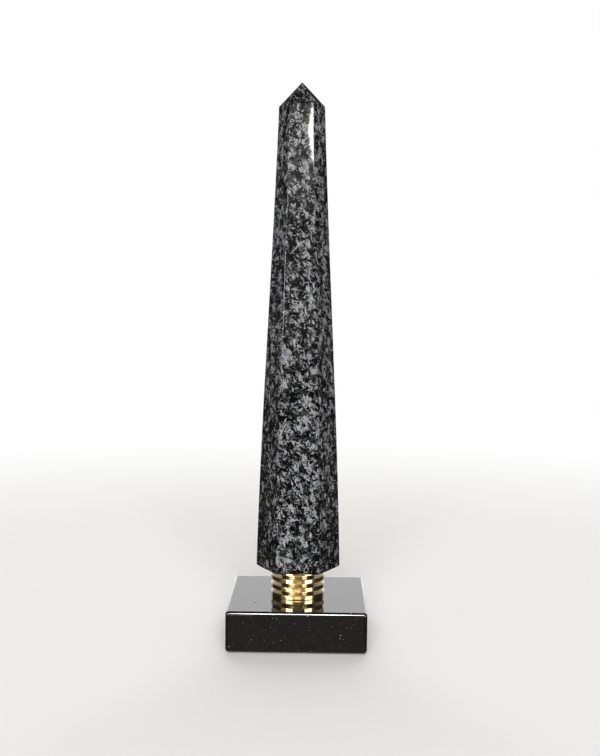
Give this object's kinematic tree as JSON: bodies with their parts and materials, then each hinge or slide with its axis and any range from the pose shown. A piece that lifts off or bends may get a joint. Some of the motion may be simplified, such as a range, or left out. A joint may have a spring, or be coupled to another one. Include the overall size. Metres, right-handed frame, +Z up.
{
  "type": "desk obelisk",
  "caption": "Table ornament: a tapered hexagonal shaft of polished speckled stone with a pyramid point, on a ribbed brass collar and a square block of polished black granite.",
  "frame": {"origin": "middle of the plane that the felt pads rest on, on the shaft's axis", "axes": "+Z up along the shaft, -Y out of one flat side of the shaft and of the block, +X and -X through two opposite arrises of the shaft"},
  "size_m": [0.1, 0.1, 0.4044],
  "materials": {
    "gabbro": "polished",
    "brass": "polished",
    "black_granite": "polished",
    "steel": "satin",
    "felt": "matte"
  },
  "bodies": {
    "root": {"gabbro_shaft": "gabbro", "brass_collar": "brass", "granite_block": "black_granite", "tie_rod": "steel", "washer": "steel", "nut": "steel", "felt_pad_front_left": "felt", "felt_pad_front_right": "felt", "felt_pad_back_left": "felt", "felt_pad_back_right": "felt"}
  },
  "joints": []
}
